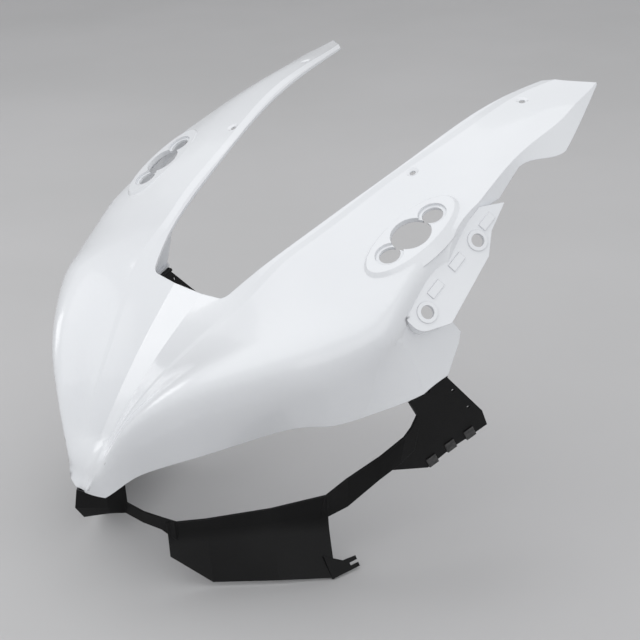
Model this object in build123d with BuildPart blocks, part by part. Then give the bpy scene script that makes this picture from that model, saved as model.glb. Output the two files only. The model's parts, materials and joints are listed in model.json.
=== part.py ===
"""Front nose cowl of a sport motorcycle, with the black trim that frames its two headlights.

Millimetres, +Z up, nose towards -Y. Everything is symmetric about the YZ plane: the half on +X
is built and then mirrored. Heights and places are measured from the middle of the screen
opening's lower edge.
"""

import os
from math import sqrt

from build123d import *

# Place of the screen opening's lower edge behind and above the origin
screen_edge = Vector(0, -114.3, 265.6)

# Cowl moulding
wall = 2.8
lip_width = 13
lip_height = 3.2
crown = 4
crown_place = 0.6
ridge_flat = 7
ridge_fall = 0.2
ridge_run_out = 84
channel_share = 0.26
rim_spread = 1.5
shoulder_break = 0.05

# Solid forms that the cowl is cut from
form_lead = (-200, -240)
form_bottom = -330
form_reach = 300
form_back = 460
wall_top = 200
wall_foot = -200

# Cross sections of the cowl's top skin, from the nose to the tail: y, centre height, ridge half width
# and height, shoulder half width, height and slope, then half width, height and lean of the rim
top_sections = [
    (-175, -205, 6, -203, 30, -168, 0.2, 36, -185, 0.2),
    (-150, -171, 9, -167, 30, -137, 0.5, 37, -152, 0),
    (-130, -141, 17, -131, 50, -95, 0.45, 51, -118, -0.6),
    (-100, -103, 32, -87, 86, -54, 0.15, 104, -85, -0.55),
    (-50, -48, 58, -36, 146, -19, -0.2, 163, -55, -0.65),
    (0, -2, 84, 5, 192, -5, -0.35, 202, -45, -0.5),
    (45, 38, 92, 35, 218, 14, -0.45, 226, -25, -0.35),
    (95, 66, 108, 61, 216, 47, -0.4, 224, 10, -0.1),
    (145, 91, 119, 85, 217, 72, -0.3, 232, 52, 0.4),
    (195, 114, 132, 108, 229, 88.5, -0.25, 249, 80, 1.8),
    (250, 136, 144, 130, 224, 109, -0.25, 244, 101, 1.8),
    (310, 154, 148, 147, 217, 126.5, -0.3, 237, 117.5, 1.7),
    (400, 172, 160, 165, 202, 148.5, -0.3, 222, 139.5, 1.7),
]

# Cowl side wall: a shoulder point and a lower point on each wall line, from the nose tip to the tail
nose_walls = [
    ((0, -149, -165), (0, -146, -173)),
    ((64, -141, -85), (45, -112, -150)),
    ((118, -114, -41), (92, -80, -125)),
    ((183, -61, -17), (139, -25, -106)),
    ((215, -9, -9), (174, 12, -100)),
    ((237, 43, 8), (195, 47, -95)),
]
side_walls = [
    ((226, 90, 42), (212, 88, -84)),
    ((223, 135, 62), (228, 130, -73)),
    ((221, 178, 85), (222, 178, 40)),
]
tail_walls = [
    ((217, 246, 110), (221, 246, 95)),
    ((207, 320, 130), (219, 310, 100)),
    ((193, 410, 150), (206, 400, 115)),
]

# Side view of the cowl's free edge: lower edge, rear corner, flange edge and tail, as y and z
nose_tip = (-152, -163)
nose_low = (-136, -170)
lower_edge = [(-112, -150), (-85, -128), (-30, -107), (47, -95)]
rear_corner = (127, -71)
rear_edge = [(143, -31), (129, -13), (132, -7), (148, 3), (180, 36), (188, 56), (196, 77), (211, 79),
             (244, 101)]
tail_belly = [(262, 103), (292, 101)]
tail_heel = (307, 103)
tail_tip = (386, 150)

# Screen opening in plan: half of its lower edge, then its side edge up to the tail
opening_half = 57
opening_corner = 12
opening_edge = [(80, 48), (104, 126), (125, 208), (137, 290), (150, 355)]
tail_outer = (200, 388)

# Mirror pads: a flat oval on each arm with a stem hole between two bolt holes
pad_centre = (193, 117)
pad_towards = (6, 53, 24)
pad_tilt = -3.5
pad_length = 108
pad_width = 50
pad_depth = 9
mirror_bolt_spacing = 58
mirror_bolt_diameter = 20
mirror_stem_diameter = 39
bolt_seat_diameter = 27
seat_depth = 2.2

# Screen screws
screen_screws = [(138, 177), (162, 310)]
screen_screw_diameter = 6
dish_diameter = 13
dish_depth = 1.5

# Side flange, a flat plate that stands off the wall, in its own plane: along the arm and up to the arm
flange_spot = Vector(234, 129, 30)
flange_run = Vector(0, 0.849, 0.529)
flange_normal = (0.809, -0.311, 0.499)
flange_depth = 45
flange_corner = 15
flange_outline = [(-62, 19), (68, 21), (88, 6), (100, -45), (-5, -44), (-62, -8)]
flange_edge = [(-35, -25), (38, -14.5), (59, -2), (90, 5)]
flange_holes = [(-43, -1), (42, 3)]
flange_hole_diameter = 12.5
ring_diameter = 20
bead = 1.2
bar_length = 17
bar_width = 8
flange_bars = [(-21, 6), (12.5, 6), (62.5, 7)]

# Headlight trim: chin under the nose tip, as side views at its centre and at its cheek
trim_wall = 2.6
chin_half = 22
chin_keel = [(-150, -150), (-157, -181), (-149, -195), (-112, -205), (-112, -150)]
chin_cheek = [(-136, -150), (-134, -182), (-132, -189), (-112, -198), (-112, -150)]

# Arm from the chin to the tray: x, y, z and height of each station
arm_stations = [(14, -117, -188, 12), (40, -107, -197, 12), (60, -100, -199, 13), (74, -94, -204, 20)]

# Tray beside the headlight: its valley line, then stations along it with the top and bottom edges
tray_start = Vector(70, -94, -214)
tray_run = Vector(0.55, 0.835, -0.06)
tray_stations = [(-6, 3, 18, 9, -15), (32, 1, 18, 15, -44), (95, -1, 23, 26, -41), (150, 8, 38, 30, -40.9)]
tray_bend = 30
fork_run = Vector(0.14, 0.99, 0.06)
fork_length = 32
fork_root = 3
fork_heel = 24
fork_width = 11
fork_slot = (9, 3)

# Strut from the tray up to the end plate: y, then x and z of its lower and upper edges
strut_stations = [(24, 150, -215, 157, -187), (48, 163, -205, 166, -173), (74, 183, -178, 187, -151),
                  (92, 193, -165, 202, -132), (106, 200, -152, 211, -110)]

# End plate under the cowl's rear corner, in side view, and the tab that lies under the cowl's lip
plate_spot = Vector(212, 90, -90)
plate_normal = (1, -0.28, -0.271)
plate_outline = [(90, -91), (97, -88), (109, -85), (111, -70), (125, -66), (126, -73), (175, -127),
                 (185, -147), (168, -156), (148, -165), (126, -181), (86, -170), (102, -110)]
tab_outline = [(207, 68), (221, 68), (224, 82), (211, 82)]
plate_hole_diameter = 4
plate_holes = [(47, 2.5), (70, -23.5)]

# Clip nuts on the plate's lower edge
clip_places = [(129, -173), (146.5, -160.5), (166, -151.5)]
clip_angle = 30
clip_length = 13
clip_width = 10
clip_sheet = 1.2


def across(y):
    """Plane across the cowl at y, with X to the right and Z up."""
    return Plane(screen_edge + Vector(0, y, 0), x_dir=(1, 0, 0), z_dir=(0, -1, 0))


def level(z):
    """Horizontal plane at height z."""
    return Plane(screen_edge + Vector(0, 0, z), x_dir=(1, 0, 0), z_dir=(0, 0, 1))


def side(x):
    """Plane along the cowl at x, with Y to the right and Z up."""
    return Plane(screen_edge + Vector(x, 0, 0), x_dir=(0, 1, 0), z_dir=(1, 0, 0))


def wall_line(pair, z):
    """Plan point of a wall line at height z."""
    upper, lower = Vector(*pair[0]), Vector(*pair[1])
    point = upper + (lower - upper) * ((z - upper.Z) / (lower.Z - upper.Z))
    return (point.X, point.Y)


def moved_in(points, inset):
    """A plan outline from the nose tip to the tail, moved in by inset square to itself."""
    chain = [Vector(-points[1][0], points[1][1])] + [Vector(*point) for point in points]
    chain.append(chain[-1] + (chain[-1] - chain[-2]))
    moved = []
    for before, here, after in zip(chain, chain[1:], chain[2:]):
        arriving = (here - before).normalized()
        along = (arriving + (after - here).normalized()).normalized()
        outward = Vector(along.Y, -along.X)
        point = here - outward * (inset / along.dot(arriving))
        moved.append((point.X, point.Y))
    return moved


def cowl_form(inset):
    """The half of the cowl on +X as a solid form, with every skin moved in by inset."""
    corner = len(nose_walls) - 1
    spring = corner + len(side_walls)
    with BuildPart() as form:
        for z in (wall_top, wall_foot):
            outline = moved_in([wall_line(pair, z) for pair in nose_walls + side_walls + tail_walls], inset)
            nose, flank, tail = outline[:corner + 1], outline[corner:spring + 1], outline[spring:]
            with BuildSketch(level(z)):
                with BuildLine():
                    Spline(*nose, tangents=[(1, 0), Vector(*nose[-1]) - Vector(*nose[-2])])
                    Spline(*flank)
                    Spline(*tail)
                    Polyline(tail[-1], (0, tail[-1][1]), nose[0])
                make_face()
        loft(ruled=True)
        before_y, before_z = form_lead
        spread = rim_spread * min(inset, wall)
        for (y, centre_z, ridge_x, ridge_z, shoulder_x, shoulder_z, slope, rim_x, rim_z,
             lean) in top_sections:
            drop = inset * sqrt(1 + ((centre_z - before_z) / (y - before_y)) ** 2)
            before_y, before_z = y, centre_z
            flat = ridge_flat * min(ridge_x / ridge_run_out, 1)
            rise = (shoulder_z - ridge_z) / (shoulder_x - ridge_x)
            middle_x = ridge_x + crown_place * (shoulder_x - ridge_x)
            channel = (channel_share * ridge_x, centre_z - drop)
            inner = (ridge_x - flat, ridge_z - flat * ridge_fall - drop)
            outer = (ridge_x + flat / 2, ridge_z + rise * flat / 2 - drop)
            middle = (middle_x, ridge_z + rise * (middle_x - ridge_x) + crown - drop)
            shoulder, rim = (shoulder_x - spread, shoulder_z - drop), (rim_x - spread, rim_z - drop)
            leaving = (Vector(*outer) - Vector(*inner)).normalized() * (1 - flat / ridge_flat)
            leaving += (Vector(*middle) - Vector(*outer)).normalized() * flat / ridge_flat
            arriving, roll, fall = Vector(1, slope), Vector(1, slope - shoulder_break), Vector(lean, -1)
            with BuildSketch(across(y)):
                with BuildLine():
                    Spline(outer, middle, shoulder, tangents=[leaving, arriving])
                    Spline(shoulder, rim, tangents=[roll, fall])
                    Polyline(rim, (rim[0], form_bottom), (0, form_bottom), (0, channel[1]), channel,
                             inner, outer)
                make_face()
        loft(mode=Mode.INTERSECT)
    return form.part


def skin_at(x, y, towards=(0, 1, 0)):
    """Plane on the cowl's outer skin above a plan point, facing out."""
    line = Axis(screen_edge + Vector(x, y, form_bottom), (0, 0, 1))
    point, normal = max(outer_form.find_intersection_points(line), key=lambda hit: hit[0].Z)
    return Plane(point, x_dir=towards, z_dir=normal)


def pad_flare(base, height):
    """Solid from the mirror pad's oval at level base, growing by as much as it rises or falls."""
    spread = abs(height)
    with BuildPart() as flare:
        with BuildSketch(pad_plane.offset(base)):
            Ellipse(pad_length / 2, pad_width / 2)
        with BuildSketch(pad_plane.offset(base + height)):
            Ellipse(pad_length / 2 + spread, pad_width / 2 + spread)
        loft(ruled=True)
    return flare.part


outer_form = cowl_form(0)
inner_form = cowl_form(wall)
lip_form = cowl_form(lip_width)

# Mirror pad: flat oval floor with sloped sides, a stem hole and two bolt holes in round seats
pad_plane = skin_at(*pad_centre, towards=pad_towards).rotated((0, pad_tilt, 0))
with BuildPart() as pad_skirt:
    add(pad_flare(0, -pad_depth))
    add(inner_form, mode=Mode.SUBTRACT)
    add(pad_flare(-sqrt(2) * wall, -pad_depth), mode=Mode.SUBTRACT)
with BuildPart() as mirror_pad:
    add(pad_flare(-wall, pad_depth + wall))
    add(outer_form, mode=Mode.INTERSECT)
    add(pad_flare(0, pad_depth), mode=Mode.SUBTRACT)
    add(pad_skirt.part)
    with BuildSketch(pad_plane):
        Ellipse(pad_length / 2, pad_width / 2)
    extrude(amount=-wall - seat_depth)
    with BuildSketch(pad_plane):
        with GridLocations(mirror_bolt_spacing, 0, 2, 1):
            Circle(bolt_seat_diameter / 2)
    extrude(amount=-seat_depth, mode=Mode.SUBTRACT)
    with BuildSketch(pad_plane):
        Circle(mirror_stem_diameter / 2)
        with GridLocations(mirror_bolt_spacing, 0, 2, 1):
            Circle(mirror_bolt_diameter / 2)
    extrude(amount=pad_depth, both=True, mode=Mode.SUBTRACT)

# Side flange: hollow behind the plate, then the plate with its skirt, rings, bars and holes
flange_plane = Plane(screen_edge + flange_spot, x_dir=flange_run, z_dir=flange_normal)
with BuildPart() as flange_room:
    with BuildSketch(flange_plane.offset(-wall)) as outline:
        Polygon(*flange_outline, align=None)
        fillet(outline.vertices().group_by(Axis.X)[0], flange_corner)
        offset(amount=-wall)
    extrude(amount=-flange_depth)
with BuildPart() as side_flange:
    with BuildSketch(flange_plane) as outline:
        Polygon(*flange_outline, align=None)
        fillet(outline.vertices().group_by(Axis.X)[0], flange_corner)
    extrude(amount=-flange_depth)
    add(inner_form, mode=Mode.SUBTRACT)
    add(flange_room.part, mode=Mode.SUBTRACT)
    with BuildSketch(flange_plane):
        with Locations(*flange_holes):
            Circle(ring_diameter / 2)
        with Locations(*flange_bars):
            Rectangle(bar_length, bar_width)
    extrude(amount=bead)
    with BuildSketch(flange_plane):
        with Locations(*flange_holes):
            Circle(flange_hole_diameter / 2)
        Polygon(*flange_edge, (form_reach, flange_edge[-1][1]), (form_reach, -form_reach),
                (flange_edge[0][0], -form_reach), align=None)
    extrude(amount=flange_depth, both=True, mode=Mode.SUBTRACT)

# Return lip along the cowl's lower edge
with BuildPart() as return_lip:
    with BuildSketch(side(0)):
        with BuildLine():
            Line(nose_tip, nose_low)
            Spline(nose_low, *lower_edge)
            Polyline(lower_edge[-1], rear_corner, (rear_corner[0], rear_corner[1] + lip_height),
                     (lower_edge[-1][0], lower_edge[-1][1] + lip_height))
            Spline(*[(y, z + lip_height) for y, z in reversed([nose_low] + lower_edge)])
            Polyline((nose_low[0], nose_low[1] + lip_height), (nose_tip[0], nose_tip[1] + lip_height),
                     nose_tip)
        make_face()
    extrude(amount=form_reach)
    add(outer_form, mode=Mode.INTERSECT)
    add(lip_form, mode=Mode.SUBTRACT)

with BuildPart() as nose_cowl:
    add(outer_form)
    add(inner_form, mode=Mode.SUBTRACT)
    # Free edge, cut in side view
    with BuildSketch(side(-1)):
        with BuildLine():
            Line((-form_reach, nose_tip[1]), nose_tip)
            Line(nose_tip, nose_low)
            Spline(nose_low, *lower_edge)
            Polyline(lower_edge[-1], rear_corner, *rear_edge)
            Spline(rear_edge[-1], *tail_belly, tail_heel)
            Polyline(tail_heel, tail_tip, (tail_tip[0], wall_top), (form_back, wall_top),
                     (form_back, form_bottom), (-form_reach, form_bottom), (-form_reach, nose_tip[1]))
        make_face()
    extrude(amount=form_reach, mode=Mode.SUBTRACT)
    # Screen opening and tail end, cut in plan
    with BuildSketch(level(-wall_top / 2)) as opening:
        with BuildLine():
            Line((-opening_half, 0), (opening_half, 0))
            Spline((opening_half, 0), *opening_edge)
            Polyline(opening_edge[-1], tail_outer, (form_reach, tail_outer[1]), (form_reach, form_back),
                     (-opening_half, form_back), (-opening_half, 0))
        make_face()
        fillet(opening.vertices().sort_by_distance((opening_half, 0, 0))[0], opening_corner)
    extrude(amount=2 * wall_top, mode=Mode.SUBTRACT)
    add(return_lip.part)
    add(flange_room.part, mode=Mode.SUBTRACT)
    add(side_flange.part)
    add(pad_flare(0, pad_depth), mode=Mode.SUBTRACT)
    with BuildSketch(pad_plane):
        Ellipse(pad_length / 2, pad_width / 2)
    extrude(amount=-pad_depth, mode=Mode.SUBTRACT)
    add(mirror_pad.part)
    # Screw holes for the screen, each in a shallow dish
    for x, y in screen_screws:
        with BuildSketch(skin_at(x, y).offset(dish_depth)):
            Circle(dish_diameter - screen_screw_diameter / 2)
        with BuildSketch(skin_at(x, y).offset(-dish_depth)):
            Circle(screen_screw_diameter / 2)
        loft(mode=Mode.SUBTRACT)
        with BuildSketch(skin_at(x, y)):
            Circle(screen_screw_diameter / 2)
        extrude(amount=-3 * wall, mode=Mode.SUBTRACT)
    mirror(about=Plane.YZ)

# Headlight trim: hollow of the chin, then the end plate cut from a slab, then the whole moulding
with BuildPart() as chin_room:
    for x, profile in ((0, chin_keel), (chin_half - trim_wall, chin_cheek)):
        with BuildSketch(side(x)):
            Polygon(*[(y + trim_wall, z + trim_wall) for y, z in profile[:3]],
                    *[(y + 2 * trim_wall, z + trim_wall) for y, z in profile[3:]], align=None)
    loft(ruled=True)
plate_plane = Plane(screen_edge + plate_spot, x_dir=(0, 1, 0), z_dir=plate_normal)
lip_run = Vector(0, rear_corner[0] - lower_edge[-1][0], rear_corner[1] - lower_edge[-1][1])
lip_plane = Plane(screen_edge + Vector(0, *lower_edge[-1]), x_dir=(1, 0, 0),
                  z_dir=Vector(1, 0, 0).cross(lip_run))
with BuildPart() as end_plate:
    with BuildSketch(side(0)):
        Polygon(*plate_outline, align=None)
    extrude(amount=form_reach)
    with BuildSketch(plate_plane):
        Rectangle(form_reach, form_reach)
        with Locations(*plate_holes):
            Circle(plate_hole_diameter / 2, mode=Mode.SUBTRACT)
    extrude(amount=-trim_wall, mode=Mode.INTERSECT)
with BuildPart() as headlight_trim:
    for x, profile in ((0, chin_keel), (chin_half, chin_cheek)):
        with BuildSketch(side(x)):
            Polygon(*profile, align=None)
    loft(ruled=True)
    add(chin_room.part, mode=Mode.SUBTRACT)
    for x, y, z, height in arm_stations:
        with BuildSketch(side(x)):
            with Locations((y, z)):
                Rectangle(trim_wall, height)
    loft(ruled=True)
    for run, top_out, top_up, low_out, low_up in tray_stations:
        spot = screen_edge + tray_start + tray_run * run
        tray_plane = Plane(spot, x_dir=(tray_run.Y, -tray_run.X, 0), z_dir=(-tray_run.X, -tray_run.Y, 0))
        with BuildSketch(tray_plane):
            with BuildLine():
                FilletPolyline((top_out, top_up), (0, 0), (low_out, low_up), radius=tray_bend)
                offset(amount=trim_wall, side=Side.RIGHT)
            make_face()
    loft(ruled=True)
    # Forked tab behind the tray's lower rear corner
    uphill = (tray_plane.x_dir * -low_out - Vector(0, 0, low_up)).normalized()
    fork_plane = Plane(spot + tray_plane.x_dir * low_out + Vector(0, 0, low_up), x_dir=fork_run,
                       z_dir=uphill.cross(fork_run))
    fork_tip = fork_length - fork_root
    with BuildSketch(fork_plane):
        Polygon((-fork_root, 0), (fork_tip, 0), (fork_tip, -fork_width), (fork_tip / 2, -fork_width - 1),
                (-fork_root, -fork_heel), align=None)
        with Locations((fork_tip, -fork_width / 2)):
            Rectangle(2 * fork_slot[0], fork_slot[1], mode=Mode.SUBTRACT)
    extrude(amount=trim_wall)
    for y, low_x, low_z, high_x, high_z in strut_stations:
        with BuildSketch(across(y)):
            Polygon((low_x, low_z), (high_x, high_z), (high_x - trim_wall, high_z),
                    (low_x - trim_wall, low_z), align=None)
    loft(ruled=True)
    add(end_plate.part)
    with BuildSketch(lip_plane):
        Polygon(*tab_outline, align=None)
    extrude(amount=-trim_wall)
    # Top faces follow the cowl's lower edge
    with BuildSketch(side(-1)):
        with BuildLine():
            Line((-form_reach, nose_tip[1]), nose_tip)
            Line(nose_tip, nose_low)
            Spline(nose_low, *lower_edge)
            Polyline(lower_edge[-1], rear_corner, (form_reach, rear_corner[1]), (form_reach, 0),
                     (-form_reach, 0), (-form_reach, nose_tip[1]))
        make_face()
    extrude(amount=form_reach, mode=Mode.SUBTRACT)
    mirror(about=Plane.YZ)

# Clip nuts pushed onto the plate's lower edge
with BuildPart() as clip_nuts:
    with BuildSketch(side(0)):
        for place in clip_places:
            with Locations(Location(place, clip_angle)):
                Rectangle(clip_width, clip_length)
    extrude(amount=form_reach)
    with BuildSketch(plate_plane.offset(clip_sheet)):
        Rectangle(form_reach, form_reach)
    extrude(amount=-trim_wall - 2 * clip_sheet, mode=Mode.INTERSECT)
    mirror(about=Plane.YZ)
    add(headlight_trim.part, mode=Mode.SUBTRACT)

os.makedirs("parts", exist_ok=True)
nose_cowl.part.label = "nose_cowl"
export_step(nose_cowl.part, "parts/nose_cowl.step")
headlight_trim.part.label = "headlight_trim"
export_step(headlight_trim.part, "parts/headlight_trim.step")
clip_nuts.part.label = "clip_nuts"
export_step(clip_nuts.part, "parts/clip_nuts.step")
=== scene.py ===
# %% [markdown]
# # A motorcycle nose fairing
# The object is the front bodywork of a sport motorcycle: a thin white cowl, a black trim that frames
# the headlights under it, and sheet steel clip nuts pushed onto the trim's end plates. The solids come
# packed from the CAD source, so this lesson starts by loading them as a fixed frame. Blender then softens
# the nose on a copy of the cowl, and adds how moulded plastic and plated steel look in soft light.

# %% Load the frame
import json
import math

import bmesh
import bpy
import numpy as np
from mathutils import Matrix, Vector
from mathutils.kdtree import KDTree


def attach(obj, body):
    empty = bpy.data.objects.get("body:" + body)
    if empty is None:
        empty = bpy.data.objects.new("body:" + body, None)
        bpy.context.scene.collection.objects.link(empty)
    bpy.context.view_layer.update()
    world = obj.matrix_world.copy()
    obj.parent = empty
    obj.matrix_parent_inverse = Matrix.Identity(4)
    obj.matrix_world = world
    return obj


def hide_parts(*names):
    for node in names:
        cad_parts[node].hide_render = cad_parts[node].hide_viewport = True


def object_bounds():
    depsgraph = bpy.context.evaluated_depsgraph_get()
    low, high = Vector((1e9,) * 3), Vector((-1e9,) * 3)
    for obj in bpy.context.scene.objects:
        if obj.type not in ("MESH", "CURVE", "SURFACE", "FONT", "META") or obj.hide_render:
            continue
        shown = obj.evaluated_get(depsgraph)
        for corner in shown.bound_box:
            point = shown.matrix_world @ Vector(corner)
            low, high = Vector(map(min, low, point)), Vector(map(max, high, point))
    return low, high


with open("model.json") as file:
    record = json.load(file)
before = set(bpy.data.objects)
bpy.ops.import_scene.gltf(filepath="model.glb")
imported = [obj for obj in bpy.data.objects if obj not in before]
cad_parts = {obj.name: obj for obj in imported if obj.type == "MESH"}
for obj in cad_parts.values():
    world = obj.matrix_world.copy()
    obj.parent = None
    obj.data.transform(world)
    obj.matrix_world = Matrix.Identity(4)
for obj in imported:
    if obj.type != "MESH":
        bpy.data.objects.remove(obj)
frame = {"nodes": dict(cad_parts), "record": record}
cad_low, cad_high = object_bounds()
nodes = frame["nodes"]
millimetre = 0.001
print("nodes:", sorted(nodes), "size:", [round(x, 3) for x in cad_high - cad_low])

# %% [markdown]
# ## Smooth skins with crisp edges
# A imported mesh is made of flat triangles. A moulded skin has to shade as one smooth surface, but its
# trimmed edges, hole rims and ribs stay crisp. An Edge Split modifier could guess that from the angles.
# It isn't needed here: model.glb carries a normal for every corner, taken from the CAD surfaces, and Blender
# keeps them as custom normals, so a soft crease and a hard edge both come out as they were drawn.

# %% Look at the meshes
for name in sorted(nodes):
    mesh = nodes[name].data
    print(name, "faces:", len(mesh.polygons), "own normals:", mesh.has_custom_normals)

# %% [markdown]
# ## A slow turn along the nose's sides
# On the real cowl the top rolls over into the side in one slow curve, and the nose tip is round. The solid
# makes the last part of that turn as a crease, so the cowl that shows is a reshaped copy that stands for the
# solid. Its shape there comes from a guide sheet. It is laid as a row of curves from the tip back to the
# flange, each from the top skin, round the shoulder, to the lower edge. Each is a Bezier curve between a
# point on the top and a point on the edge, in millimetres, and a corner pulls both of its handles outwards.
# The more it pulls, the tighter the turn, as it gets towards the flange. The first curve lies on the plane
# of symmetry, so the second one is mirrored to carry the spline across it.

# %% Lay the guide sheet
guide_rows = [
    ((0, -224, 151), (0, -253, 131), (0, -259, 97)),
    ((22, -226, 154), (28, -262, 136), (20, -254, 98)),
    ((53, -217, 192), (64, -255, 181), (45, -226, 116)),
    ((84, -178, 231), (118, -228, 225), (92, -194, 141)),
    ((125, -121, 265), (183, -175, 249), (139, -139, 160)),
    ((144, -86, 286), (215, -123, 257), (174, -102, 166)),
    ((163, -63, 295), (237, -71, 274), (195, -67, 171)),
    ((168, -34, 314), (230, -34, 296), (208, -34, 180)),
]
guide_pull = [0.8, 0.8, 0.79, 0.82, 0.89, 1.0, 1.08, 1.15]
guide_steps = 240
turn_steps = 120
rows = np.array(guide_rows, float) * millimetre
mirrored = rows[1:2] * (-1, 1, 1)
rows = np.vstack([mirrored, rows, 2 * rows[-1:] - rows[-2:-1]])


def guide_curve(place):
    """Top point, corner and edge point at a place along the rows, by a Catmull-Rom spline."""
    span = min(int(place), len(guide_rows) - 2)
    f = place - span
    before, here, there, after = rows[span:span + 4]
    return 0.5 * (2 * here + (there - before) * f + (2 * before - 5 * here + 4 * there - after) * f ** 2
                  + (3 * here - before - 3 * there + after) * f ** 3)


guide = []
turn = np.linspace(0, 1, turn_steps + 1)[:, None]
for place in np.linspace(0, len(guide_rows) - 1, guide_steps + 1):
    top, corner, edge = guide_curve(place)
    pull = np.interp(place, range(len(guide_pull)), guide_pull)
    top_handle = top + pull * (corner - top)
    edge_handle = edge + pull * (corner - edge)
    guide.append(top * (1 - turn) ** 3 + 3 * top_handle * turn * (1 - turn) ** 2
                 + 3 * edge_handle * turn ** 2 * (1 - turn) + edge * turn ** 3)
guide = np.array(guide)
guide_normals = np.cross(np.gradient(guide, axis=1), np.gradient(guide, axis=0))
guide_normals /= np.linalg.norm(guide_normals, axis=2, keepdims=True)
guide_tree = KDTree(guide.shape[0] * guide.shape[1])
for number, spot in enumerate(guide.reshape(-1, 3)):
    guide_tree.insert(spot, number)
guide_tree.balance()
print("guide points:", guide.shape[:2], "first normal:", guide_normals[0, 0].round(2))

# %% [markdown]
# ## How far each point follows the guide
# A point of the cowl looks for the nearest place on the guide, on its own side of the fairing. It follows
# the guide only in part: not at all far from it, and less and less towards the top skin, the lower edge, the
# flange and the mirror pad. With these soft ends the new form runs into the old one without a seam. A
# Lattice could bend the nose too, but its coarse grid can't take out a narrow crease.

# %% Helpers for following the guide
mounts = {mount["name"]: mount for mount in frame["record"]["mounts"]}
pad_middle = np.array(mounts["mirror_left"]["pos_m"])
pad_fade = (64 * millimetre, 110 * millimetre)
reach_fade = (15 * millimetre, 25 * millimetre)
flange_fade = (0.8, 0.98)
top_fade = (0.0, 0.3)
edge_fade = (0.65, 0.88)


def fade(value, start, end):
    """Goes from 0 at start to 1 at end, with soft ends."""
    f = np.clip((value - start) / (end - start), 0, 1)
    return f * f * (3 - 2 * f)


def on_guide(points):
    """Nearest guide points and normals on each point's own side, and how much each point follows them."""
    nearest = [guide_tree.find((abs(x), y, z)) for x, y, z in points]
    found = np.array([number for _, number, _ in nearest])
    reach = np.array([distance for _, _, distance in nearest])
    along, turned = np.divmod(found, turn_steps + 1)
    along, turned = along / guide_steps, turned / turn_steps
    own_side = np.column_stack([np.where(points[:, 0] < 0, -1, 1), np.ones((len(points), 2))])
    from_pad = np.linalg.norm(points * own_side - pad_middle, axis=1)
    follow = ((1 - fade(along, *flange_fade)) * fade(turned, *top_fade) * (1 - fade(turned, *edge_fade))
              * (1 - fade(reach, *reach_fade)) * fade(from_pad, *pad_fade))
    place = guide.reshape(-1, 3)[found] * own_side
    outward = guide_normals.reshape(-1, 3)[found] * own_side
    return place, outward, follow


def points_of(vertices):
    """Places of the vertices that are being edited."""
    return np.array([vertex.co[:] for vertex in vertices])


guide_middle = guide[guide_steps // 2, turn_steps // 2]
print("share that follows, at the middle of the guide:", on_guide(guide_middle[None])[2].round(2))

# %% [markdown]
# ## The cowl that shows
# The copy is edited with bmesh. Each of its vertices first keeps the normal that the CAD gave it. Long edges
# near the guide are split, because a long flat triangle can't follow a curve. Then the outer skin moves onto
# the guide along the guide's normals, the inner skin moves to one wall thickness behind it, and vertices that
# met along the old crease are joined. A vertex follows only where its skin faces much the same way as the
# guide, or the opposite way, so the cut edges stay. At the nose tip all vertices follow, and the old ridge
# there is rounded off. Vertices that share a place share one direction, so that no sharp edge tears open.

# %% Split long edges near the guide
longest_edge = 7 * millimetre
split_rounds = 5
solid_mesh = nodes["nose_cowl"].data
solid_normals = np.zeros((len(solid_mesh.vertices), 3))
for loop, corner in zip(solid_mesh.loops, solid_mesh.corner_normals):
    solid_normals[loop.vertex_index] += corner.vector
skin = bmesh.new()
skin.from_mesh(solid_mesh)
kept_normal = skin.verts.layers.float_vector.new("kept_normal")
for vertex, normal in zip(skin.verts, solid_normals):
    vertex[kept_normal] = Vector(normal).normalized()
for _ in range(split_rounds):
    follow = on_guide(points_of(skin.verts))[2]
    skin.verts.index_update()
    long_edges = [edge for edge in skin.edges if edge.calc_length() > longest_edge
                  and max(follow[end.index] for end in edge.verts) > 0]
    bmesh.ops.subdivide_edges(skin, edges=long_edges, cuts=1)
    bmesh.ops.triangulate(skin, faces=[face for face in skin.faces if len(face.verts) > 3])
print("faces:", len(solid_mesh.polygons), "of the solid,", len(skin.faces), "after splitting")

# %% Move the skins onto the guide
wall = 2.8 * millimetre
same_way = 0.5
beak_back = -240 * millimetre
weld_gap = 0.01 * millimetre
spots = points_of(skin.verts)
kept = np.array([vertex[kept_normal][:] for vertex in skin.verts])
kept /= np.linalg.norm(kept, axis=1, keepdims=True)
target, outward, follow = on_guide(spots)
same_spot = np.unique((spots / weld_gap).round(), axis=0, return_inverse=True)[1].ravel()
shared = np.zeros((same_spot.max() + 1, 3))
np.add.at(shared, same_spot, kept)
shared /= np.linalg.norm(shared, axis=1, keepdims=True)
agree = (shared[same_spot] * outward).sum(axis=1)
follow = follow * ((np.abs(agree) > same_way) | (spots[:, 1] < beak_back))
depth = ((target - spots) * outward).sum(axis=1) - np.where(agree < 0, wall, 0)
moved = spots + outward * (depth * follow)[:, None]
turned = kept * (1 - follow)[:, None] + outward * (np.sign(agree) * follow)[:, None]
for vertex, spot, normal in zip(skin.verts, moved, turned):
    vertex.co = spot
    vertex[kept_normal] = Vector(normal).normalized()
followers = [vertex for vertex, share in zip(skin.verts, follow) if share > 0]
bmesh.ops.remove_doubles(skin, verts=followers, dist=weld_gap)
farthest = np.abs(depth * follow).max() / millimetre
print("vertices moved:", len(followers), "by up to", farthest.round(1), "mm")

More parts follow.
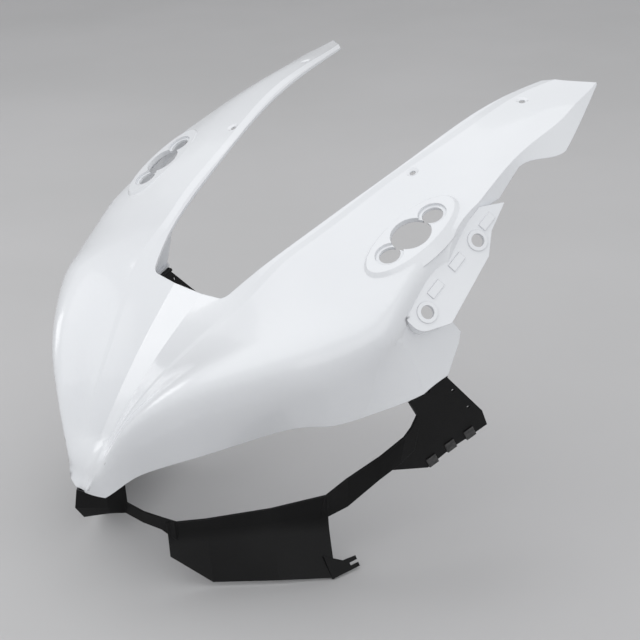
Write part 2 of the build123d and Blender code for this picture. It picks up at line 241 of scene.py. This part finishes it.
# %% Make the cowl that shows
cowl_mesh = bpy.data.meshes.new("white_cowl")
cowl_normals = [vertex[kept_normal][:] for vertex in skin.verts]
skin.to_mesh(cowl_mesh)
skin.free()
cowl_mesh.polygons.foreach_set("use_smooth", [True] * len(cowl_mesh.polygons))
cowl_mesh.normals_split_custom_set_from_vertices(cowl_normals)
white_cowl = bpy.data.objects.new("white_cowl", cowl_mesh)
bpy.context.scene.collection.objects.link(white_cowl)
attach(white_cowl, "root")
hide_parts("nose_cowl")
print("white_cowl vertices:", len(cowl_mesh.vertices))

# %% [markdown]
# ## Helpers for node groups
# Four effects turn up in more than one finish, and each becomes a shader node group that is built once.
# The helpers below make a group with named sockets and add the nodes that the groups use most. The groups
# give out only masks, heights and normals, and the shaders stay in the materials.

# %% Helpers for node groups
def new_group(name, inputs, outputs):
    """Makes a shader node group with named sockets, and returns its tree and its two ends."""
    tree = bpy.data.node_groups.new(name, "ShaderNodeTree")
    for label, kind, start in inputs:
        socket = tree.interface.new_socket(label, in_out="INPUT", socket_type=kind)
        if start is not None:
            socket.default_value = start
    for label, kind in outputs:
        tree.interface.new_socket(label, in_out="OUTPUT", socket_type=kind)
    return tree, tree.nodes.new("NodeGroupInput"), tree.nodes.new("NodeGroupOutput")


def feed(tree, place, value):
    """Links a socket into an input, or sets a plain number on it."""
    if isinstance(value, bpy.types.NodeSocket):
        tree.links.new(value, place)
    else:
        place.default_value = value


def math_node(tree, operation, first, second):
    """Adds a Math node whose inputs are sockets or plain numbers, and returns its result."""
    node = tree.nodes.new("ShaderNodeMath")
    node.operation = operation
    feed(tree, node.inputs[0], first)
    feed(tree, node.inputs[1], second)
    return node.outputs["Value"]


def ramp_between(tree, value, low, high):
    """Maps a value from low to high onto 0 to 1, with soft ends."""
    node = tree.nodes.new("ShaderNodeMapRange")
    node.interpolation_type = "SMOOTHSTEP"
    feed(tree, node.inputs["Value"], value)
    feed(tree, node.inputs["From Min"], low)
    feed(tree, node.inputs["From Max"], high)
    return node.outputs["Result"]


def noise(tree, vector, scale, detail=3.0, roughness=0.5):
    """Adds a Noise texture on a vector, and returns its value."""
    node = tree.nodes.new("ShaderNodeTexNoise")
    feed(tree, node.inputs["Vector"], vector)
    feed(tree, node.inputs["Scale"], scale)
    feed(tree, node.inputs["Detail"], detail)
    feed(tree, node.inputs["Roughness"], roughness)
    return node.outputs["Fac"]


print("group helpers ready")

# %% [markdown]
# ## Slow drift in tone
# A large panel is never one flat colour: the plastic flows and cools unevenly in its mould. One broad noise
# with soft ends gives a mask for that, and each finish mixes two close tones with it.

# %% Make the drift group
drift, drift_in, drift_out = new_group(
    "tone_drift",
    [("Vector", "NodeSocketVector", None), ("Scale", "NodeSocketFloat", 6.0)],
    [("Mask", "NodeSocketFloat")])
drift_range = (0.3, 0.7)
broad = noise(drift, drift_in.outputs["Vector"], drift_in.outputs["Scale"], detail=4.0)
drift.links.new(ramp_between(drift, broad, *drift_range), drift_out.inputs["Mask"])
print("group", drift.name, "sockets:", [socket.name for socket in drift.interface.items_tree])

# %% [markdown]
# ## Rubbed edges
# Trimmed edges catch hands, tools and packing. The Bevel node gives the normal that a rounded edge would
# have. Where it leaves the true normal, the surface is near an edge, and a noise breaks that band into
# patches. The rounded normal goes out too, so that no edge looks as sharp as a knife.

# %% Make the edge group
rub, rub_in, rub_out = new_group(
    "rubbed_edges",
    [("Vector", "NodeSocketVector", None), ("Width", "NodeSocketFloat", millimetre),
     ("Patch Scale", "NodeSocketFloat", 60.0)],
    [("Mask", "NodeSocketFloat"), ("Rounded Normal", "NodeSocketVector")])
bend_range = (0.004, 0.16)
patch_range = (0.36, 0.66)
rounded = rub.nodes.new("ShaderNodeBevel")
rounded.samples = 6
rub.links.new(rub_in.outputs["Width"], rounded.inputs["Radius"])
surface = rub.nodes.new("ShaderNodeNewGeometry")
facing = rub.nodes.new("ShaderNodeVectorMath")
facing.operation = "DOT_PRODUCT"
rub.links.new(rounded.outputs["Normal"], facing.inputs[0])
rub.links.new(surface.outputs["Normal"], facing.inputs[1])
near_edge = ramp_between(rub, math_node(rub, "SUBTRACT", 1.0, facing.outputs["Value"]), *bend_range)
patches = noise(rub, rub_in.outputs["Vector"], rub_in.outputs["Patch Scale"], detail=5.0, roughness=0.65)
patchy = math_node(rub, "MULTIPLY", near_edge, ramp_between(rub, patches, *patch_range))
rub.links.new(patchy, rub_out.inputs["Mask"])
rub.links.new(rounded.outputs["Normal"], rub_out.inputs["Rounded Normal"])
print("group", rub.name, "sockets:", [socket.name for socket in rub.interface.items_tree])

# %% [markdown]
# ## Moulded grain
# Plastic takes on the texture of the steel tool that it is pressed in. Smooth Voronoi cells make the fine
# grain, and a slower noise adds the shallow waves that show in a gloss. The group gives out a height for a
# Bump node, and a mask of the pores for the roughness.

# %% Make the grain group
grain, grain_in, grain_out = new_group(
    "moulded_grain",
    [("Vector", "NodeSocketVector", None), ("Scale", "NodeSocketFloat", 900.0),
     ("Waviness", "NodeSocketFloat", 0.3)],
    [("Height", "NodeSocketFloat"), ("Pores", "NodeSocketFloat")])
wave_share = 0.06
pore_range = (0.25, 0.75)
cells = grain.nodes.new("ShaderNodeTexVoronoi")
cells.feature = "SMOOTH_F1"
grain.links.new(grain_in.outputs["Vector"], cells.inputs["Vector"])
grain.links.new(grain_in.outputs["Scale"], cells.inputs["Scale"])
slow_scale = math_node(grain, "MULTIPLY", grain_in.outputs["Scale"], wave_share)
waves = noise(grain, grain_in.outputs["Vector"], slow_scale, detail=2.0)
swell = math_node(grain, "MULTIPLY", waves, grain_in.outputs["Waviness"])
grain.links.new(math_node(grain, "ADD", cells.outputs["Distance"], swell), grain_out.inputs["Height"])
grain.links.new(ramp_between(grain, cells.outputs["Distance"], *pore_range), grain_out.inputs["Pores"])
print("group", grain.name, "sockets:", [socket.name for socket in grain.interface.items_tree])

# %% [markdown]
# ## Settled dust
# A part that has lain in a store has a little dust where it faces up. The normal's Z picks those faces, a
# fine noise makes specks, and a broad one leaves some places cleaner than others.

# %% Make the dust group
dust, dust_in, dust_out = new_group(
    "settled_dust",
    [("Vector", "NodeSocketVector", None), ("Speck Scale", "NodeSocketFloat", 400.0)],
    [("Mask", "NodeSocketFloat")])
lying_range = (0.35, 0.95)
speck_range = (0.55, 0.78)
cloud_range = (0.3, 0.75)
cloud_scale = 14.0
upward = dust.nodes.new("ShaderNodeSeparateXYZ")
dust_surface = dust.nodes.new("ShaderNodeNewGeometry")
dust.links.new(dust_surface.outputs["Normal"], upward.inputs["Vector"])
lying = ramp_between(dust, upward.outputs["Z"], *lying_range)
specks = noise(dust, dust_in.outputs["Vector"], dust_in.outputs["Speck Scale"], detail=2.0, roughness=0.7)
clouds = noise(dust, dust_in.outputs["Vector"], cloud_scale, detail=4.0)
settled = math_node(dust, "MULTIPLY", ramp_between(dust, specks, *speck_range),
                    ramp_between(dust, clouds, *cloud_range))
dust.links.new(math_node(dust, "MULTIPLY", settled, lying), dust_out.inputs["Mask"])
print("group", dust.name, "sockets:", [socket.name for socket in dust.interface.items_tree])

# %% [markdown]
# ## Helpers for the materials
# Every finish below has one Principled BSDF. Values that are the same all over are set on its sockets.
# Values that change over the surface come from the groups, through a Mix for colours or a Map Range for
# roughness. Object coordinates keep each pattern fixed to the part, at its real size in metres.

# %% Helpers for materials
def new_material(name, **plain_values):
    """Makes a material with one Principled BSDF, and sets the values that are the same all over."""
    material = bpy.data.materials.new(name)
    material.use_nodes = True
    tree = material.node_tree
    shader = tree.nodes["Principled BSDF"]
    for label, value in plain_values.items():
        shader.inputs[label.replace("_", " ")].default_value = value
    return material, tree, shader, tree.nodes.new("ShaderNodeTexCoord").outputs["Object"]


def use_group(tree, group, vector, **values):
    """Places a node group in a material, with its own values."""
    node = tree.nodes.new("ShaderNodeGroup")
    node.node_tree = group
    tree.links.new(vector, node.inputs["Vector"])
    for label, value in values.items():
        node.inputs[label.replace("_", " ")].default_value = value
    return node


def mix_colour(tree, mask, first, second):
    """Mixes two colours, each a socket or a plain RGB, by a mask."""
    node = tree.nodes.new("ShaderNodeMix")
    node.data_type = "RGBA"
    tree.links.new(mask, node.inputs["Factor"])
    for label, colour in (("A", first), ("B", second)):
        place = next(socket for socket in node.inputs if socket.name == label and socket.type == "RGBA")
        feed(tree, place, colour if isinstance(colour, bpy.types.NodeSocket) else (*colour, 1.0))
    return next(socket for socket in node.outputs if socket.type == "RGBA")


def between(tree, mask, low, high):
    """A value that goes from low to high with the mask."""
    node = tree.nodes.new("ShaderNodeMapRange")
    tree.links.new(mask, node.inputs["Value"])
    node.inputs["To Min"].default_value = low
    node.inputs["To Max"].default_value = high
    return node.outputs["Result"]


def bump(tree, height, strength, distance, normal):
    """Turns a height into a normal, on top of another normal."""
    node = tree.nodes.new("ShaderNodeBump")
    node.inputs["Strength"].default_value = strength
    node.inputs["Distance"].default_value = distance
    tree.links.new(height, node.inputs["Height"])
    tree.links.new(normal, node.inputs["Normal"])
    return node.outputs["Normal"]


print("material helpers ready")

# %% [markdown]
# ## White gloss plastic of the cowl
# The cowl is injection moulded in white plastic and isn't painted. It has a slightly cool white, a soft
# gloss, a very shallow waviness that shows only in reflections, and edges that look a touch greyer where
# they were trimmed and rubbed. A little dust lies on the top faces.

# %% Make the white finish
cowl_white, tree, shader, place = new_material(
    "white_gloss", IOR=1.5, Coat_Weight=0.5, Coat_Roughness=0.06, Specular_IOR_Level=0.5)
white_clean = (0.80, 0.815, 0.84)
white_shaded = (0.775, 0.79, 0.818)
edge_grey = (0.62, 0.63, 0.65)
dust_grey = (0.60, 0.60, 0.59)
edge_share, dust_share = 0.45, 0.12
sheen_share = 0.6
gloss = (0.18, 0.30)
peel_strength, peel_height = 0.05, 0.12 * millimetre
tone = use_group(tree, drift, place, Scale=7.0)
edges = use_group(tree, rub, place, Width=0.9 * millimetre, Patch_Scale=90.0)
film = use_group(tree, dust, place, Speck_Scale=700.0)
peel = use_group(tree, grain, place, Scale=420.0, Waviness=1.4)
body = mix_colour(tree, tone.outputs["Mask"], white_clean, white_shaded)
worn = mix_colour(tree, math_node(tree, "MULTIPLY", edges.outputs["Mask"], edge_share), body, edge_grey)
dusty = mix_colour(tree, math_node(tree, "MULTIPLY", film.outputs["Mask"], dust_share), worn, dust_grey)
tree.links.new(dusty, shader.inputs["Base Color"])
sheen_break = math_node(tree, "ADD", math_node(tree, "MULTIPLY", tone.outputs["Mask"], sheen_share),
                        math_node(tree, "MULTIPLY", film.outputs["Mask"], sheen_share))
tree.links.new(between(tree, sheen_break, *gloss), shader.inputs["Roughness"])
wavy = bump(tree, peel.outputs["Height"], peel_strength, peel_height, edges.outputs["Rounded Normal"])
tree.links.new(wavy, shader.inputs["Normal"])
print("material", cowl_white.name, "nodes:", len(tree.nodes))

# %% [markdown]
# ## Black satin plastic of the trim
# The trim is black polypropylene with a fine grain from the tool. It reads as black with a dull sheen on
# the faces that turn to the light. The grain is a Voronoi height at about half a millimetre, and rubbed
# edges go a little lighter and smoother.

# %% Make the black finish
trim_black, tree, shader, place = new_material("black_satin", IOR=1.49, Specular_IOR_Level=0.16)
black_deep = (0.0045, 0.0045, 0.0047)
black_faded = (0.007, 0.007, 0.0073)
black_rubbed = (0.036, 0.036, 0.037)
black_dust = (0.16, 0.155, 0.15)
edge_share, dust_share = 0.7, 0.12
pore_share, polish_share = 0.7, 0.5
satin = (0.40, 0.62)
tool_strength, tool_height = 0.28, 0.10 * millimetre
tone = use_group(tree, drift, place, Scale=11.0)
edges = use_group(tree, rub, place, Width=0.8 * millimetre, Patch_Scale=120.0)
film = use_group(tree, dust, place, Speck_Scale=900.0)
tool = use_group(tree, grain, place, Scale=1500.0, Waviness=0.25)
body = mix_colour(tree, tone.outputs["Mask"], black_deep, black_faded)
worn = mix_colour(tree, math_node(tree, "MULTIPLY", edges.outputs["Mask"], edge_share), body, black_rubbed)
dusty = mix_colour(tree, math_node(tree, "MULTIPLY", film.outputs["Mask"], dust_share), worn, black_dust)
tree.links.new(dusty, shader.inputs["Base Color"])
grip = math_node(tree, "SUBTRACT", math_node(tree, "MULTIPLY", tool.outputs["Pores"], pore_share),
                 math_node(tree, "MULTIPLY", edges.outputs["Mask"], polish_share))
tree.links.new(between(tree, grip, *satin), shader.inputs["Roughness"])
grained = bump(tree, tool.outputs["Height"], tool_strength, tool_height, edges.outputs["Rounded Normal"])
tree.links.new(grained, shader.inputs["Normal"])
print("material", trim_black.name, "nodes:", len(tree.nodes))

# %% [markdown]
# ## Plated steel of the clip nuts
# The clip nuts are folded from thin spring steel with a dull, dark zinc plating. Zinc is a metal, so the
# colour tints its reflections. The plating is cloudy, with faint marks from the rolling of the sheet.

# %% Make the steel finish
clip_steel, tree, shader, place = new_material("dull_zinc", Metallic=1.0)
zinc_bright = (0.13, 0.13, 0.128)
zinc_dull = (0.085, 0.085, 0.086)
zinc_edge = (0.24, 0.238, 0.233)
dullness = (0.34, 0.52)
mark_strength, mark_height = 0.15, 0.04 * millimetre
tone = use_group(tree, drift, place, Scale=180.0)
edges = use_group(tree, rub, place, Width=0.3 * millimetre, Patch_Scale=500.0)
marks = use_group(tree, grain, place, Scale=2600.0, Waviness=0.5)
body = mix_colour(tree, tone.outputs["Mask"], zinc_bright, zinc_dull)
tree.links.new(mix_colour(tree, edges.outputs["Mask"], body, zinc_edge), shader.inputs["Base Color"])
tree.links.new(between(tree, tone.outputs["Mask"], *dullness), shader.inputs["Roughness"])
marked = bump(tree, marks.outputs["Height"], mark_strength, mark_height, edges.outputs["Rounded Normal"])
tree.links.new(marked, shader.inputs["Normal"])
print("material", clip_steel.name, "nodes:", len(tree.nodes))

# %% [markdown]
# ## Finishes on the pieces
# Each piece gets its finish in its first material slot, and the cowl that shows takes the finish of
# the node it stands for.

# %% Put the finishes on the pieces
for name, piece, finish in (("nose_cowl", white_cowl, cowl_white),
                            ("headlight_trim", nodes["headlight_trim"], trim_black),
                            ("clip_nuts", nodes["clip_nuts"], clip_steel)):
    piece.data.materials.clear()
    piece.data.materials.append(finish)

# %% [markdown]
# ## Camera
# The camera stands where the photographer stood: in front, to the side and above, with a slight roll. Its
# place and angles were worked out from pairs of holes that mirror each other across the fairing. A frame
# of 36 mm with a lens of 73 mm sees what a frame of 640 pixels sees at 1300 pixels of focal length.

# %% Make the camera
camera_place = (0.982, -0.7903, 0.7306)
camera_azimuth = math.radians(49.33)
camera_elevation = math.radians(23.27)
camera_roll = math.radians(-3.59)
frame_pixels = 640
focal_pixels = 1300
lens = bpy.data.cameras.new("photo_camera")
lens.sensor_width = 36
lens.lens = lens.sensor_width * focal_pixels / frame_pixels
camera = bpy.data.objects.new("photo_camera", lens)
camera.matrix_world = (Matrix.Translation(camera_place)
                       @ Matrix.Rotation(camera_azimuth, 4, "Z")
                       @ Matrix.Rotation(math.radians(90) - camera_elevation, 4, "X")
                       @ Matrix.Rotation(camera_roll, 4, "Z"))
bpy.context.scene.collection.objects.link(camera)
bpy.context.scene.camera = camera
print("lens:", round(lens.lens, 1), "mm")

# %% [markdown]
# ## Floor
# The part stands on a plain pale floor at its own lowest level. The floor is one wide mesh whose far side
# curves up into a backdrop, so that no horizon shows. A faint drift in its grey keeps it from being flat.

# %% Make the floor
floor_half = 4.0
sweep_radius = 1.2
sweep_steps = 12
profile = [(-floor_half, 0.0)]
for step in range(sweep_steps + 1):
    bend = math.radians(90) * step / sweep_steps
    profile.append((floor_half + sweep_radius * math.sin(bend), sweep_radius * (1 - math.cos(bend))))
profile.append((floor_half + sweep_radius, floor_half))
away = Vector((-math.sin(camera_azimuth), math.cos(camera_azimuth), 0))
across = Vector((away.y, -away.x, 0))
corners = []
for reach, height in profile:
    for side in (-1, 1):
        corners.append(away * reach + across * side * 2 * floor_half + Vector((0, 0, height)))
strips = [(2 * i, 2 * i + 1, 2 * i + 3, 2 * i + 2) for i in range(len(profile) - 1)]
floor_mesh = bpy.data.meshes.new("studio_floor")
floor_mesh.from_pydata(corners, [], strips)
floor_mesh.polygons.foreach_set("use_smooth", [True] * len(strips))
floor = bpy.data.objects.new("studio_floor", floor_mesh)
bpy.context.scene.collection.objects.link(floor)
print("floor strips:", len(strips))

# %% Make the floor's finish
studio_grey, tree, shader, place = new_material("studio_grey", Roughness=0.55, Specular_IOR_Level=0.3)
floor_pale = (0.56, 0.555, 0.56)
floor_deep = (0.53, 0.527, 0.53)
tone = use_group(tree, drift, place, Scale=1.5)
tree.links.new(mix_colour(tree, tone.outputs["Mask"], floor_pale, floor_deep), shader.inputs["Base Color"])
floor_mesh.materials.append(studio_grey)
print("material", studio_grey.name, "nodes:", len(tree.nodes))

# %% [markdown]
# ## Light
# White plastic shows its form only if one side is a little darker than the other. A very broad soft light
# over the part does most of the work, a small one on the left draws bright lines along the nose's ridges, a
# broad one on the right lifts the side wall, and an even world keeps the hollow inside from going black. The
# lamps are low enough that no white face clips.

# %% Make the light
def soft_light(name, place, size, power):
    """Adds a square area light at a place, turned to the middle of the part."""
    lamp = bpy.data.lights.new(name, "AREA")
    lamp.shape = "SQUARE"
    lamp.size = size
    lamp.energy = power
    holder = bpy.data.objects.new(name, lamp)
    holder.location = place
    middle = (cad_low + cad_high) / 2
    holder.rotation_euler = (middle - Vector(place)).to_track_quat("-Z", "Y").to_euler()
    bpy.context.scene.collection.objects.link(holder)
    print("lamp", name, "watts:", power)


soft_light("overhead", (-0.3, -0.2, 2.2), size=2.6, power=12)
soft_light("left_fill", (-1.8, -0.9, 1.2), size=0.8, power=4)
soft_light("right_fill", (2.0, -0.6, 0.8), size=1.8, power=6)
world = bpy.data.worlds.new("studio_air")
world.use_nodes = True
air = world.node_tree.nodes["Background"]
air_colour = (0.98, 0.99, 1.0, 1.0)
air_strength = 0.78
air.inputs["Color"].default_value = air_colour
air.inputs["Strength"].default_value = air_strength
bpy.context.scene.world = world
bpy.context.scene.view_settings.view_transform = "Standard"

# %% Update the view layer
bpy.context.view_layer.update()
